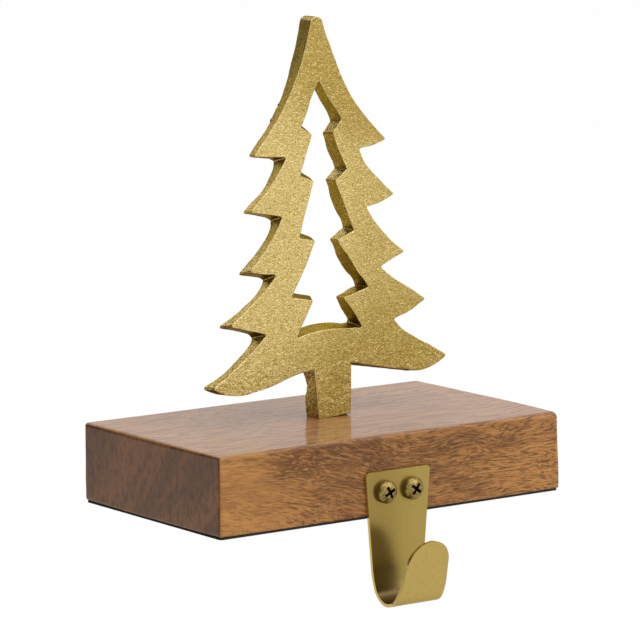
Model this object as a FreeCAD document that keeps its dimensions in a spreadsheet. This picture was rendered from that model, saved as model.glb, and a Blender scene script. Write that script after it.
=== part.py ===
import FreeCAD, Part
import math
import os

import Sketcher
from FreeCAD import Placement, Rotation, Vector

# Mantel stocking holder: a cast tree stands on a wooden block, and a bent metal hook hangs
# from the block's front. X runs along the block, Y to the back and Z up. The origin is the
# centre of the pad's underside, which rests on the mantel. Lengths are mm, angles degrees.

sizes = {
    # wooden block and the pad glued under it
    "base_length": 146.0,
    "base_width": 84.0,
    "base_height": 27.7,
    "base_round": 1.2,
    "pad_height": 0.7,
    "pad_inset": 0.4,
    # cast tree, whose two sides follow an axis that leans to the left
    "tree_x": 3.4,
    "tree_y": 0.65,
    "tree_thickness": 6.3,
    "tree_lean": 3.0,
    "side_bias": 0.4,
    "right_lift": 1.9,
    "trunk_height": 18.2,
    "trunk_foot_width": 13.8,
    "trunk_top_width": 16.6,
    "skirt_inset": 13.6,
    "skirt_drop": 2.7,
    "skirt_belly": 1.2,
    "bough_sag": 1.0,
    "crown_sag": 4.0,
    "crown_rise": 46.2,
    "crown_width": 4.6,
    "crown_cap": 1.3,
    "tip_round": 0.6,
    "notch_round": 0.5,
    # thicker foot at the back of the trunk, tapped for the screw from below
    "foot_height": 10.5,
    "foot_thickness": 7.6,
    "foot_hole_depth": 9.6,
    # window inside the tree
    "window_apex_depth": 22.1,
    "window_sill_height": 30.0,
    "window_sill_reach": 14.5,
    "window_sill_arch": 1.4,
    "crown_pocket_reach": 9.0,
    "limb_web": 5.7,
    # hook bent from sheet
    "hook_x": 0.7,
    "hook_sheet": 1.2,
    "hook_plate_height": 15.5,
    "hook_drop": 30.75,
    "hook_bend_radius": 5.75,
    "hook_easy_radius": 24.0,
    "hook_plate_turn": 16.7,
    "hook_tongue_turn": 17.9,
    "hook_tongue_tilt": 16.3,
    "hook_tongue_rise": 24.0,
    "hook_top_width": 27.6,
    "hook_bend_width": 20.0,
    "hook_tongue_width": 17.3,
    "hook_bend_straight": 1.5,
    "hook_corner_round": 1.5,
    # the two round-head screws through the hook
    "hook_screw_spacing": 11.3,
    "hook_screw_height": 8.3,
    "hook_screw_radius": 2.1,
    "hook_screw_length": 19.0,
    "hook_screw_point": 4.0,
    "hook_screw_tip_radius": 0.4,
    "hook_screw_head_radius": 4.0,
    "hook_screw_head_side": 1.5,
    "hook_screw_head_height": 3.1,
    "hook_screw_head_flat": 1.4,
    "hook_screw_turn_left": -27.0,
    "hook_screw_turn_right": 37.0,
    # the screw that holds the tree, in a counterbore under the block
    "tree_screw_radius": 2.0,
    "tree_screw_length": 25.0,
    "tree_screw_point": 0.6,
    "tree_screw_tip_radius": 1.5,
    "tree_screw_head_radius": 4.0,
    "tree_screw_head_side": 1.5,
    "tree_screw_head_height": 2.8,
    "tree_screw_head_flat": 1.4,
    "tree_screw_recess_depth": 11.0,
    "tree_screw_recess_radius": 5.0,
    # cross recess in every screw head
    "cross_span": 4.6,
    "cross_slot": 1.1,
    "cross_depth": 1.7,
    # room round screws
    "shank_clearance": 0.05,
    "hook_hole_clearance": 0.2,
    "hole_bottom_clearance": 1.0,
}

# one row for each tier of boughs, from the top down: height of its left tip above the next
# tier's, reach of the tips from the axis, depth and drop of the notch under the tips,
# and the window's tooth beside it: half gap, rise above the tip, and step up to the pocket
tier_columns = ("pitch", "reach", "undercut", "drop", "tooth_gap", "tooth_rise", "pocket_step")
tiers = {
    1: (19.3, 28.5, 12.8, 1.7, 4.7, 5.0, 3.7),
    2: (21.6, 30.9, 12.8, 3.1, 4.85, 8.0, 3.2),
    3: (17.5, 33.6, 11.3, 2.2, 5.3, 8.5, 2.8),
    4: (21.4, 42.4, 14.9, 4.6, 6.75, 5.4, 2.1),
}
bottom_tier = {"tier5_height": 15.5, "tier5_reach": 50.7}

cut_margin = 2.0   # how far a cutting outline runs past the solid that it cuts

doc = FreeCAD.newDocument("stocking_holder")


def fill_sheet():
    sheet = doc.addObject("Spreadsheet::Sheet", "Sizes")
    values = dict(sizes)
    for tier, row in tiers.items():
        for column, value in zip(tier_columns, row):
            values[f"tier{tier}_{column}"] = value
    values.update(bottom_tier)
    for line, (alias, value) in enumerate(values.items(), start=1):
        sheet.set(f"A{line}", alias)
        sheet.set(f"B{line}", str(value))
        sheet.setAlias(f"B{line}", alias)
    doc.recompute()
    return sheet


sheet = fill_sheet()


def number(expression):
    """The present value of an expression, in mm or degrees."""
    value = sheet.evalExpression(expression)
    return float(getattr(value, "Value", value))


def new_body(label):
    body = doc.addObject("PartDesign::Body", label)
    body.Label = label
    return body


def place(body, x="0", y="0", z="0"):
    for axis, expression in zip("xyz", (x, y, z)):
        body.setExpression(f"Placement.Base.{axis}", expression)


def new_sketch(body, role, name, offset=None):
    """A sketch on one of the body's own origin planes, moved along its normal by offset."""
    sketch = body.newObject("Sketcher::SketchObject", name)
    plane = next(item for item in body.Origin.OriginFeatures if item.Role == role)
    sketch.AttachmentSupport = [(plane, "")]
    sketch.MapMode = "FlatFace"
    if offset:
        sketch.setExpression("AttachmentOffset.Base.z", offset)
    return sketch


def pin_point(sketch, geometry, point, x, y):
    """Ties a sketch point to two expressions, or to an axis where one of them is 0."""
    for kind, expression, axis in (("DistanceX", x, -2), ("DistanceY", y, -1)):
        if expression == "0":
            sketch.addConstraint(Sketcher.Constraint("PointOnObject", geometry, point, axis))
        else:
            value = number(expression)
            index = sketch.addConstraint(
                Sketcher.Constraint(kind, -1, 1, geometry, point, value)
            )
            sketch.setExpression(f"Constraints[{index}]", expression)


def arc_between(start, end, sagitta):
    """An arc from start to end that bulges to the right of that way, or left if negative."""
    chord = end - start
    depth = abs(sagitta)
    radius = chord.Length ** 2 / (8 * depth) + depth / 2
    right = Vector(chord.y, -chord.x, 0).normalize() * math.copysign(1, sagitta)
    centre = (start + end) / 2 + right * (depth - radius)
    first, last = (start, end) if sagitta > 0 else (end, start)
    angles = [math.atan2(point.y - centre.y, point.x - centre.x) for point in (first, last)]
    circle = Part.Circle(centre, Vector(0, 0, 1), radius)
    return Part.ArcOfCircle(circle, angles[0], angles[1])


def draw_outline(sketch, corners):
    """A closed outline through corners (x, y, bulge): bulge is None for a straight edge to
    the next corner, or (sign, sagitta) for an arc, right of the way round if sign is +1."""
    count = len(corners)
    spots = [Vector(number(x), number(y), 0) for x, y, bulge in corners]
    ends = []
    for index, (x, y, bulge) in enumerate(corners):
        start, end = spots[index], spots[(index + 1) % count]
        if bulge is None:
            edge = sketch.addGeometry(Part.LineSegment(start, end))
            ends.append((edge, 1, 2))
        else:
            sign, sagitta = bulge
            edge = sketch.addGeometry(arc_between(start, end, sign * number(sagitta)))
            ends.append((edge, 1, 2) if sign > 0 else (edge, 2, 1))
    for index, (x, y, bulge) in enumerate(corners):
        edge, first, last = ends[index]
        following, its_first, its_last = ends[(index + 1) % count]
        sketch.addConstraint(
            Sketcher.Constraint("Coincident", edge, last, following, its_first)
        )
        pin_point(sketch, edge, first, x, y)
        if bulge is not None:
            next_x, next_y, next_bulge = corners[(index + 1) % count]
            sagitta = bulge[1]
            chord = f"((({next_x}) - ({x}))^2 + (({next_y}) - ({y}))^2)"
            radius = f"{chord} / (8 * ({sagitta})) + ({sagitta}) / 2"
            radius_at = sketch.addConstraint(
                Sketcher.Constraint("Radius", edge, number(radius))
            )
            sketch.setExpression(f"Constraints[{radius_at}]", radius)


def draw_circle(sketch, x, y, radius):
    circle = Part.Circle(Vector(number(x), number(y), 0), Vector(0, 0, 1), number(radius))
    edge = sketch.addGeometry(circle)
    pin_point(sketch, edge, 3, x, y)
    index = sketch.addConstraint(Sketcher.Constraint("Radius", edge, number(radius)))
    sketch.setExpression(f"Constraints[{index}]", radius)


def extrude(body, kind, sketch, length, reversed_way=False, symmetric=False, through=False):
    """A Pad or a Pocket of the sketch. A Pocket has to take material away."""
    before = body.Shape.Volume if kind == "Pocket" else 0.0
    feature = body.newObject(f"PartDesign::{kind}", f"{sketch.Name}_{kind.lower()}")
    feature.Profile = sketch
    feature.Reversed = reversed_way
    if symmetric:
        feature.SideType = "Symmetric"
    if through:
        feature.Type = "ThroughAll"
    else:
        feature.setExpression("Length", length)
    doc.recompute()
    if kind == "Pocket" and not feature.Shape.Volume < before - 1e-6:
        raise RuntimeError(f"{feature.Name} cuts nothing")
    return feature


def round_edges(body, name, base, chosen, radius):
    """A Fillet on those edges of the base feature for which chosen(edge) is true."""
    names = [f"Edge{n}" for n, edge in enumerate(base.Shape.Edges, start=1) if chosen(edge)]
    fillet = body.newObject("PartDesign::Fillet", name)
    fillet.Base = (base, names)
    fillet.setExpression("Radius", radius)
    doc.recompute()
    return fillet


def runs_along(edge, axis):
    """True for a straight edge that is parallel to the axis."""
    if edge.Curve.TypeId != "Part::GeomLine":
        return False
    way = (edge.lastVertex().Point - edge.firstVertex().Point).normalize()
    return abs(abs(way.dot(axis)) - 1) < 1e-6


def stands_at(edge, spots, axis=Vector(0, 1, 0)):
    """True for an edge along Y that passes through one of the (x, z) spots."""
    if not runs_along(edge, axis):
        return False
    point = edge.firstVertex().Point
    return any(math.hypot(point.x - x, point.z - z) < 1e-3 for x, z in spots)


def make_block(label, inset, height, bottom, rounded):
    """A rectangular block centred on the Z axis, inset from the base's outline."""
    body = new_body(label)
    outline = new_sketch(body, "XY_Plane", f"{label}_outline")
    half_length = f"(Sizes.base_length / 2 - {inset})"
    half_width = f"(Sizes.base_width / 2 - {inset})"
    draw_outline(outline, [
        (half_length, f"-{half_width}", None),
        (half_length, half_width, None),
        (f"-{half_length}", half_width, None),
        (f"-{half_length}", f"-{half_width}", None),
    ])
    block = extrude(body, "Pad", outline, height)
    round_edges(body, f"{label}_edges", block,
                lambda edge: rounded or runs_along(edge, Vector(0, 0, 1)), "Sizes.base_round")
    place(body, z=bottom)
    return body


def drill_base(body):
    """Pilot holes for the hook's screws, and the counterbored way of the tree's screw."""
    pilots = new_sketch(body, "XZ_Plane", "pilot_holes", "Sizes.base_width / 2")
    for side in ("-", "+"):
        draw_circle(pilots, f"Sizes.hook_x {side} Sizes.hook_screw_spacing / 2",
                    "Sizes.hook_screw_height", "Sizes.hook_screw_radius + Sizes.shank_clearance")
    extrude(body, "Pocket", pilots,
            "Sizes.hook_screw_length - Sizes.hook_sheet + Sizes.hole_bottom_clearance")
    for name, radius, depth in (
        ("tree_screw_way", "Sizes.tree_screw_radius + Sizes.shank_clearance", "Sizes.base_height"),
        ("tree_screw_recess", "Sizes.tree_screw_recess_radius", "Sizes.tree_screw_recess_depth"),
    ):
        hole = new_sketch(body, "XY_Plane", name)
        draw_circle(hole, "Sizes.tree_x", foot_centre_world, radius)
        extrude(body, "Pocket", hole, depth, reversed_way=True)


base_top = "(Sizes.pad_height + Sizes.base_height)"
foot_centre = "(Sizes.foot_thickness - Sizes.tree_thickness) / 2"
foot_centre_world = f"Sizes.tree_y + {foot_centre}"


def tip_height(tier):
    """Height of a tier's left tip above the foot."""
    above = [f"Sizes.tier{n}_pitch" for n in range(tier, 5)]
    return " + ".join(["Sizes.tier5_height"] + above)


def notch_height(tier):
    return f"{tip_height(tier)} - Sizes.tier{tier}_drop"


def notch_reach(tier):
    return f"Sizes.tier{tier}_reach - Sizes.tier{tier}_undercut"


def beside_axis(side, reach, height):
    """A point at a reach from the leaning axis: side is +1 for the right and -1 for the left."""
    sign = "" if side > 0 else "-"
    return f"{sign}({reach}) - ({height}) * tan(Sizes.tree_lean)", f"{height}"


top_height = f"({tip_height(1)} + Sizes.crown_rise)"


def tree_side(side):
    """One side's corners from the foot to the crown: (x, z, kind, belly or sag to the next)."""
    bias = "- Sizes.side_bias" if side > 0 else "+ Sizes.side_bias"
    lift = "+ Sizes.right_lift" if side > 0 else ""
    corners = [
        (*beside_axis(side, "Sizes.trunk_foot_width / 2", "0.0"), "foot", None),
        (*beside_axis(side, "Sizes.trunk_top_width / 2", "Sizes.trunk_height"), "notch", None),
        (*beside_axis(side, "Sizes.tier5_reach - Sizes.skirt_inset",
                      "Sizes.tier5_height - Sizes.skirt_drop"), "skirt", "belly"),
        (*beside_axis(side, f"Sizes.tier5_reach {bias}", f"Sizes.tier5_height {lift}"),
         "tip", "bough"),
    ]
    for tier in (4, 3, 2, 1):
        corners.append((*beside_axis(side, notch_reach(tier), notch_height(tier)), "notch", None))
        corners.append((*beside_axis(side, f"Sizes.tier{tier}_reach {bias}",
                                     f"{tip_height(tier)} {lift}"),
                        "tip", "bough" if tier > 1 else "crown"))
    corners.append((*beside_axis(side, "Sizes.crown_width / 2", f"{top_height} - Sizes.crown_cap"),
                    "crown", None))
    return corners


edge_forms = {
    "belly": (1, "Sizes.skirt_belly"),
    "bough": (-1, "Sizes.bough_sag"),
    "crown": (-1, "Sizes.crown_sag"),
    None: None,
}


def tree_outline():
    """All corners of the tree, anticlockwise from the foot's right, and their kinds."""
    right, left = tree_side(1), tree_side(-1)
    corners = [(x, z, edge_forms[form]) for x, z, kind, form in right]
    corners[-1] = (*corners[-1][:2], (1, "Sizes.crown_cap"))
    for index in range(len(left) - 1, -1, -1):
        x, z, kind, form = left[index]
        form_below = left[index - 1][3] if index else None
        corners.append((x, z, edge_forms[form_below]))
    kinds = [kind for x, z, kind, form in right] + [kind for x, z, kind, form in reversed(left)]
    return corners, kinds


def window_side(side):
    """One side's corners of the window, from below its apex to the sill."""
    corners = []
    for tier in (1, 2, 3, 4):
        tooth = f"{tip_height(tier)} + Sizes.tier{tier}_tooth_rise"
        pocket = f"{tooth} + Sizes.tier{tier}_pocket_step"
        reach = "Sizes.crown_pocket_reach" if tier == 1 else f"{notch_reach(tier - 1)} - Sizes.limb_web"
        corners.append((*beside_axis(side, reach, pocket), "notch"))
        corners.append((*beside_axis(side, f"Sizes.tier{tier}_tooth_gap", tooth), "tip"))
    corners.append((*beside_axis(side, "Sizes.window_sill_reach", "Sizes.window_sill_height"), "notch"))
    return corners


def window_outline():
    apex = (*beside_axis(1, "0.0", f"{top_height} - Sizes.window_apex_depth"), "notch")
    right, left = window_side(1), window_side(-1)
    points = [apex] + right + left[::-1]
    corners = [(x, z, None) for x, z, kind in points]
    sill = len(right)
    corners[sill] = (*corners[sill][:2], (1, "Sizes.window_sill_arch"))
    return corners, [kind for x, z, kind in points]


def spots_of(corners, kinds, wanted):
    return [(number(x), number(z)) for (x, z, form), kind in zip(corners, kinds) if kind == wanted]


def make_tree():
    body = new_body("tree")
    outline = new_sketch(body, "XZ_Plane", "tree_outline")
    outline_corners, outline_kinds = tree_outline()
    draw_outline(outline, outline_corners)
    extrude(body, "Pad", outline, "Sizes.tree_thickness", symmetric=True)

    window = new_sketch(body, "XZ_Plane", "tree_window")
    window_corners, window_kinds = window_outline()
    draw_outline(window, window_corners)
    cut = extrude(body, "Pocket", window, None, symmetric=True, through=True)

    corners = outline_corners + window_corners
    kinds = outline_kinds + window_kinds
    tips = round_edges(body, "tips", cut,
                       lambda edge: stands_at(edge, spots_of(corners, kinds, "tip")),
                       "Sizes.tip_round")
    round_edges(body, "notches", tips,
                lambda edge: stands_at(edge, spots_of(corners, kinds, "notch")),
                "Sizes.notch_round")
    add_foot(body)
    place(body, "Sizes.tree_x", "Sizes.tree_y", base_top)
    return body


def add_foot(body):
    """The thicker foot behind the trunk, flush with its sides, and its tapped hole."""
    foot = new_sketch(body, "XZ_Plane", "tree_foot")
    widen = "Sizes.foot_height / Sizes.trunk_height"
    half_top = (f"Sizes.trunk_foot_width / 2 + (Sizes.trunk_top_width"
                f" - Sizes.trunk_foot_width) / 2 * {widen}")
    draw_outline(foot, [
        (*beside_axis(1, "Sizes.trunk_foot_width / 2", "0.0"), None),
        (*beside_axis(1, half_top, "Sizes.foot_height"), None),
        (*beside_axis(-1, half_top, "Sizes.foot_height"), None),
        (*beside_axis(-1, "Sizes.trunk_foot_width / 2", "0.0"), None),
    ])
    extrude(body, "Pad", foot, "Sizes.foot_thickness - Sizes.tree_thickness / 2", reversed_way=True)
    hole = new_sketch(body, "XY_Plane", "foot_hole")
    draw_circle(hole, "0", foot_centre, "Sizes.tree_screw_radius + Sizes.shank_clearance")
    extrude(body, "Pocket", hole, "Sizes.foot_hole_depth", reversed_way=True)


# the hook's bend, in the plate's own y and z: where the easy arc from the plate and the tight
# arc end, as angles turned since the plate, and the centre of the tight arc
plate_turn = "Sizes.hook_plate_turn"
tight_turn = "(180 - Sizes.hook_tongue_tilt - Sizes.hook_tongue_turn)"
easier = "(Sizes.hook_easy_radius - Sizes.hook_bend_radius)"
bend_y = f"(-Sizes.hook_sheet - Sizes.hook_easy_radius + {easier} * cos({plate_turn}))"
bend_z = "(Sizes.hook_bend_radius + Sizes.hook_sheet - Sizes.hook_drop)"


def bend_face(extra):
    """One face of the bend, as corners (y, z) and the depth of the arc that starts at each:
    an easy arc out of the plate, the tight one, and an easy one that ends at the tongue."""
    tight, easy = f"(Sizes.hook_bend_radius + {extra})", f"(Sizes.hook_easy_radius + {extra})"
    tongue_turn = "(180 - Sizes.hook_tongue_tilt)"
    arcs = [
        (f"({bend_y} - {easier} * cos({plate_turn}))", f"({bend_z} + {easier} * sin({plate_turn}))",
         easy, "0", plate_turn),
        (bend_y, bend_z, tight, plate_turn, tight_turn),
        (f"({bend_y} - {easier} * cos({tight_turn}))", f"({bend_z} + {easier} * sin({tight_turn}))",
         easy, tight_turn, tongue_turn),
    ]
    corners = [(f"{y} + {radius} * cos({start})", f"{z} - {radius} * sin({start})",
                f"{radius} * (1 - cos(({end} - {start}) / 2))")
               for y, z, radius, start, end in arcs]
    y, z, radius, start, end = arcs[-1]
    corners.append((f"{y} + {radius} * cos({end})", f"{z} - {radius} * sin({end})", None))
    return corners


def hook_profile():
    """Corners of the bent sheet's edge in (y, z), from the plate's back top, all round."""
    tongue_top = f"(-Sizes.hook_drop + Sizes.hook_tongue_rise + {cut_margin})"
    inner, outer = bend_face("0"), bend_face("Sizes.hook_sheet")

    def tongue_end(face):
        y, z, depth = face[-1]
        return f"{y} - ({tongue_top} - ({z})) * tan(Sizes.hook_tongue_tilt)", tongue_top, None

    down = [(y, z, depth and (-1, depth)) for y, z, depth in outer]
    # on the way back each arc starts at the corner where it ended on the way down
    back = [(y, z, before and (1, before[2]))
            for (y, z, depth), before in zip(inner[::-1], inner[-2::-1] + [None])]
    return [
        ("0", "Sizes.hook_plate_height", None),
        *down,
        tongue_end(outer),
        tongue_end(inner),
        *back,
        ("-Sizes.hook_sheet", "Sizes.hook_plate_height", None),
    ]


def trim_hook(body):
    """Cuts the plate's taper and the tongue's taper and round end from the full-width strip."""
    bend_plane = f"-{bend_y}"
    below = f"(-Sizes.hook_drop - {cut_margin})"
    straight_top = "(-Sizes.hook_drop + Sizes.hook_bend_straight)"
    wide = f"(Sizes.hook_top_width / 2 + {cut_margin})"
    above_plate = f"(Sizes.hook_plate_height + {cut_margin})"
    plate = new_sketch(body, "XZ_Plane", "plate_sides", bend_plane)
    for sign, order in (("", 1), ("-", -1)):
        corners = [
            (f"{sign}Sizes.hook_top_width / 2", above_plate, None),
            (f"{sign}{wide}", above_plate, None),
            (f"{sign}{wide}", below, None),
            (f"{sign}Sizes.hook_bend_width / 2", below, None),
            (f"{sign}Sizes.hook_bend_width / 2", straight_top, None),
            (f"{sign}Sizes.hook_top_width / 2", "Sizes.hook_plate_height", None),
        ]
        draw_outline(plate, corners[::order])
    extrude(body, "Pocket", plate, None, through=True)

    tongue = new_sketch(body, "XZ_Plane", "tongue_sides", bend_plane)
    tongue_top = "(-Sizes.hook_drop + Sizes.hook_tongue_rise)"
    end_radius = "(Sizes.hook_tongue_width / 2)"
    shoulder = f"{tongue_top} - {end_radius}"
    quarter = (1, f"{end_radius} * (1 - cos(45))")
    above_tongue = f"{tongue_top} + 2 * {cut_margin}"
    draw_outline(tongue, [
        ("Sizes.hook_bend_width / 2", below, None),
        ("Sizes.hook_bend_width / 2", straight_top, None),
        ("Sizes.hook_tongue_width / 2", shoulder, quarter),
        ("0", tongue_top, quarter),
        ("-Sizes.hook_tongue_width / 2", shoulder, None),
        ("-Sizes.hook_bend_width / 2", straight_top, None),
        ("-Sizes.hook_bend_width / 2", below, None),
        (f"-{wide}", below, None),
        (f"-{wide}", above_tongue, None),
        (wide, above_tongue, None),
        (wide, below, None),
    ])
    extrude(body, "Pocket", tongue, None, reversed_way=True, through=True)


def make_hook():
    body = new_body("hook")
    profile = new_sketch(body, "YZ_Plane", "hook_profile")
    draw_outline(profile, hook_profile())
    extrude(body, "Pad", profile, "Sizes.hook_top_width", symmetric=True)
    trim_hook(body)
    holes = new_sketch(body, "XZ_Plane", "hook_holes")
    for side in ("-", ""):
        draw_circle(holes, f"{side}Sizes.hook_screw_spacing / 2", "Sizes.hook_screw_height",
                    "Sizes.hook_screw_radius + Sizes.hook_hole_clearance")
    drilled = extrude(body, "Pocket", holes, "Sizes.hook_sheet", reversed_way=True)
    top = number("Sizes.hook_plate_height")
    side = number("Sizes.hook_top_width / 2")
    round_edges(body, "plate_corners", drilled,
                lambda edge: stands_at(edge, [(side, top), (-side, top)]),
                "Sizes.hook_corner_round")
    place(body, "Sizes.hook_x", "-Sizes.base_width / 2", "Sizes.pad_height")
    return body


def make_screw(label, sort):
    """A screw along +Y, with the underside of its head at the origin. The head is flat in the
    middle, and an arc runs from the flat, tangent to it, down to the head's side."""
    body = new_body(label)
    own = f"Sizes.{sort}_screw"
    shoulder_width = f"({own}_head_radius - {own}_head_flat)"
    shoulder_height = f"({own}_head_height - {own}_head_side)"
    shoulder_sag = (f"sqrt({shoulder_width}^2 + {shoulder_height}^2) / 2"
                    f" * tan(atan({shoulder_height} / {shoulder_width}) / 2)")
    profile = new_sketch(body, "YZ_Plane", f"{label}_profile")
    draw_outline(profile, [
        (f"-{own}_head_height", "0", None),
        (f"{own}_length", "0", None),
        (f"{own}_length", f"{own}_tip_radius", None),
        (f"{own}_length - {own}_point", f"{own}_radius", None),
        ("0", f"{own}_radius", None),
        ("0", f"{own}_head_radius", None),
        (f"-{own}_head_side", f"{own}_head_radius", (1, shoulder_sag)),
        (f"-{own}_head_height", f"{own}_head_flat", None),
    ])
    turned = body.newObject("PartDesign::Revolution", f"{label}_turned")
    turned.Profile = profile
    turned.ReferenceAxis = (profile, ["H_Axis"])
    turned.Angle = 360
    doc.recompute()

    cross = new_sketch(body, "XZ_Plane", f"{label}_cross", f"{own}_head_height")
    span, slot = "Sizes.cross_span / 2", "Sizes.cross_slot / 2"
    quadrants = [("", ""), ("-", ""), ("-", "-"), ("", "-")]
    corners = []
    for index, (sx, sy) in enumerate(quadrants):
        arm = [(f"{sx}{span}", f"{sy}{slot}"), (f"{sx}{slot}", f"{sy}{slot}"),
               (f"{sx}{slot}", f"{sy}{span}")]
        corners += arm if index % 2 == 0 else arm[::-1]
    draw_outline(cross, [(x, y, None) for x, y in corners])
    extrude(body, "Pocket", cross, "Sizes.cross_depth")
    return body


def report(label, shape):
    box = shape.BoundBox
    print(f"{label}: {len(shape.Solids)} solid, volume {shape.Volume:.1f} mm3, "
          f"x {box.XMin:.2f}..{box.XMax:.2f}, y {box.YMin:.2f}..{box.YMax:.2f}, "
          f"z {box.ZMin:.2f}..{box.ZMax:.2f}")


def build():
    base = make_block("wood_base", "0", "Sizes.base_height", "Sizes.pad_height", True)
    drill_base(base)
    pad = make_block("base_pad", "Sizes.pad_inset", "Sizes.pad_height", "0", False)
    tree = make_tree()
    hook = make_hook()
    bodies = [base, pad, tree, hook]

    for side, sign in (("left", "-"), ("right", "+")):
        screw = make_screw(f"hook_screw_{side}", "hook")
        screw.Placement = Placement(Vector(), Rotation(Vector(0, 1, 0), 0))
        place(screw, f"Sizes.hook_x {sign} Sizes.hook_screw_spacing / 2",
              "-Sizes.base_width / 2 - Sizes.hook_sheet",
              "Sizes.pad_height + Sizes.hook_screw_height")
        screw.setExpression("Placement.Rotation.Angle", f"Sizes.hook_screw_turn_{side}")
        bodies.append(screw)

    tree_screw = make_screw("tree_screw", "tree")
    tree_screw.Placement = Placement(Vector(), Rotation(Vector(1, 0, 0), 90))
    place(tree_screw, "Sizes.tree_x", foot_centre_world,
          "Sizes.pad_height + Sizes.tree_screw_recess_depth")
    bodies.append(tree_screw)
    return bodies


def check(bodies):
    for item in doc.Objects:
        if "Invalid" in item.State or "Error" in item.State:
            raise RuntimeError(f"{item.Name} failed: {item.State}")
    for body in bodies:
        if body.Shape.isNull() or not body.Shape.isValid():
            raise RuntimeError(f"{body.Label} has no valid shape")


bodies = build()
doc.recompute()
check(bodies)
os.makedirs("parts", exist_ok=True)
for body in bodies:
    report(body.Label, body.Shape)
    body.Shape.exportStep(os.path.join("parts", f"{body.Label}.step"))
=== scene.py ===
import math

import bmesh
import bpy
import numpy as np
from mathutils import Matrix, Vector, noise


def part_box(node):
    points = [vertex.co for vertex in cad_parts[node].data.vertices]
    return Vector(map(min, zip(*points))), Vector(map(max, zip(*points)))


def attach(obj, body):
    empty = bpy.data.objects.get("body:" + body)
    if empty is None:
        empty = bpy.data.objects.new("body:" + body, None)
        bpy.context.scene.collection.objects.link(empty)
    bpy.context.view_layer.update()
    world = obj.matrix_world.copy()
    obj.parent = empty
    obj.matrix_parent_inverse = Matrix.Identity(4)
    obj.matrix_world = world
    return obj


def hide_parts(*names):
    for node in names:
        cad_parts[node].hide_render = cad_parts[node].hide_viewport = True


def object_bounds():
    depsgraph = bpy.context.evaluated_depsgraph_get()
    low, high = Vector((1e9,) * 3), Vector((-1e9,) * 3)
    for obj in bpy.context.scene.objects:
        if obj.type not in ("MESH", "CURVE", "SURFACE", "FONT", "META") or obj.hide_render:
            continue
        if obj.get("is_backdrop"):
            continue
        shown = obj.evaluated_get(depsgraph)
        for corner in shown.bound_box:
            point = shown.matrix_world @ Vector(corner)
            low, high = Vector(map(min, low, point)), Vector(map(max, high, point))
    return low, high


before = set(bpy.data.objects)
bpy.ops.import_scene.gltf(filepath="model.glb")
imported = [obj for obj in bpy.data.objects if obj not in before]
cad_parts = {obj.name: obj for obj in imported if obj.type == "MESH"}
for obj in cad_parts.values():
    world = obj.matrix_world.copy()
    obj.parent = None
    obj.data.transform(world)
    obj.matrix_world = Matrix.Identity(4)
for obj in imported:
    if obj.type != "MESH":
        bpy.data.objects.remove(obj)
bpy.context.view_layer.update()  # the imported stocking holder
scene = bpy.context.scene
mm = 0.001
print("frame loaded:", ", ".join(sorted(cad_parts)))


# node helpers

def newFinish(name):
    finish = bpy.data.materials.new(name)
    finish.use_nodes = True
    return finish, finish.node_tree, finish.node_tree.nodes["Principled BSDF"]


def feed(tree, socket, value):  # links a socket, or sets a plain value
    if isinstance(value, bpy.types.NodeSocket):
        tree.links.new(value, socket)
    else:
        socket.default_value = value


def maths(tree, operation, a, b=0.0, clamp=False):
    node = tree.nodes.new("ShaderNodeMath")
    node.operation = operation
    node.use_clamp = clamp
    feed(tree, node.inputs[0], a)
    feed(tree, node.inputs[1], b)
    return node.outputs[0]


def ramp(tree, value, low, high, start=0.0, end=1.0):  # smooth step from low to high
    node = tree.nodes.new("ShaderNodeMapRange")
    node.interpolation_type = "SMOOTHSTEP"
    for name, item in (("Value", value), ("From Min", low), ("From Max", high),
                       ("To Min", start), ("To Max", end)):
        feed(tree, node.inputs[name], item)
    return node.outputs["Result"]


def mixColour(tree, amount, a, b, blend="MIX"):
    node = tree.nodes.new("ShaderNodeMix")
    node.data_type = "RGBA"
    node.blend_type = blend
    feed(tree, node.inputs[0], amount)
    feed(tree, node.inputs[6], a)
    feed(tree, node.inputs[7], b)
    return node.outputs[2]


def stretched(tree, place, perMetre):  # coordinates times a number for each axis
    node = tree.nodes.new("ShaderNodeVectorMath")
    node.operation = "MULTIPLY"
    feed(tree, node.inputs[0], place)
    node.inputs[1].default_value = perMetre
    return node.outputs[0]


def cloud(tree, place, perMetre, detail=2.0, roughness=0.5, distortion=0.0):
    node = tree.nodes.new("ShaderNodeTexNoise")
    feed(tree, node.inputs["Vector"], stretched(tree, place, perMetre))
    node.inputs["Scale"].default_value = 1.0
    node.inputs["Detail"].default_value = detail
    node.inputs["Roughness"].default_value = roughness
    node.inputs["Distortion"].default_value = distortion
    return node.outputs["Fac"]


def centred(tree, value, size):  # a noise of 0 to 1 made into a length of plus or minus size
    return maths(tree, "MULTIPLY", maths(tree, "SUBTRACT", value, 0.5), 2 * size)


def packed(tree, x, y, z):
    node = tree.nodes.new("ShaderNodeCombineXYZ")
    for socket, value in zip(node.inputs, (x, y, z)):
        feed(tree, socket, value)
    return node.outputs[0]


def placeOf(tree):
    return tree.nodes.new("ShaderNodeTexCoord").outputs["Object"]


def axesOf(tree, vector):
    node = tree.nodes.new("ShaderNodeSeparateXYZ")
    feed(tree, node.inputs[0], vector)
    return node.outputs


def normalOf(tree):  # the surface's normal, in x, y and z
    return axesOf(tree, tree.nodes.new("ShaderNodeNewGeometry").outputs["Normal"])


def bumpOf(tree, height, strength, distance):
    node = tree.nodes.new("ShaderNodeBump")
    feed(tree, node.inputs["Height"], height)
    node.inputs["Strength"].default_value = strength
    node.inputs["Distance"].default_value = distance
    return node.outputs["Normal"]


def colour(red, green, blue):
    return (red, green, blue, 1.0)


def paint(piece, *finishes):
    piece.data.materials.clear()
    for finish in finishes:
        piece.data.materials.append(finish)


# mesh helpers

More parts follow.
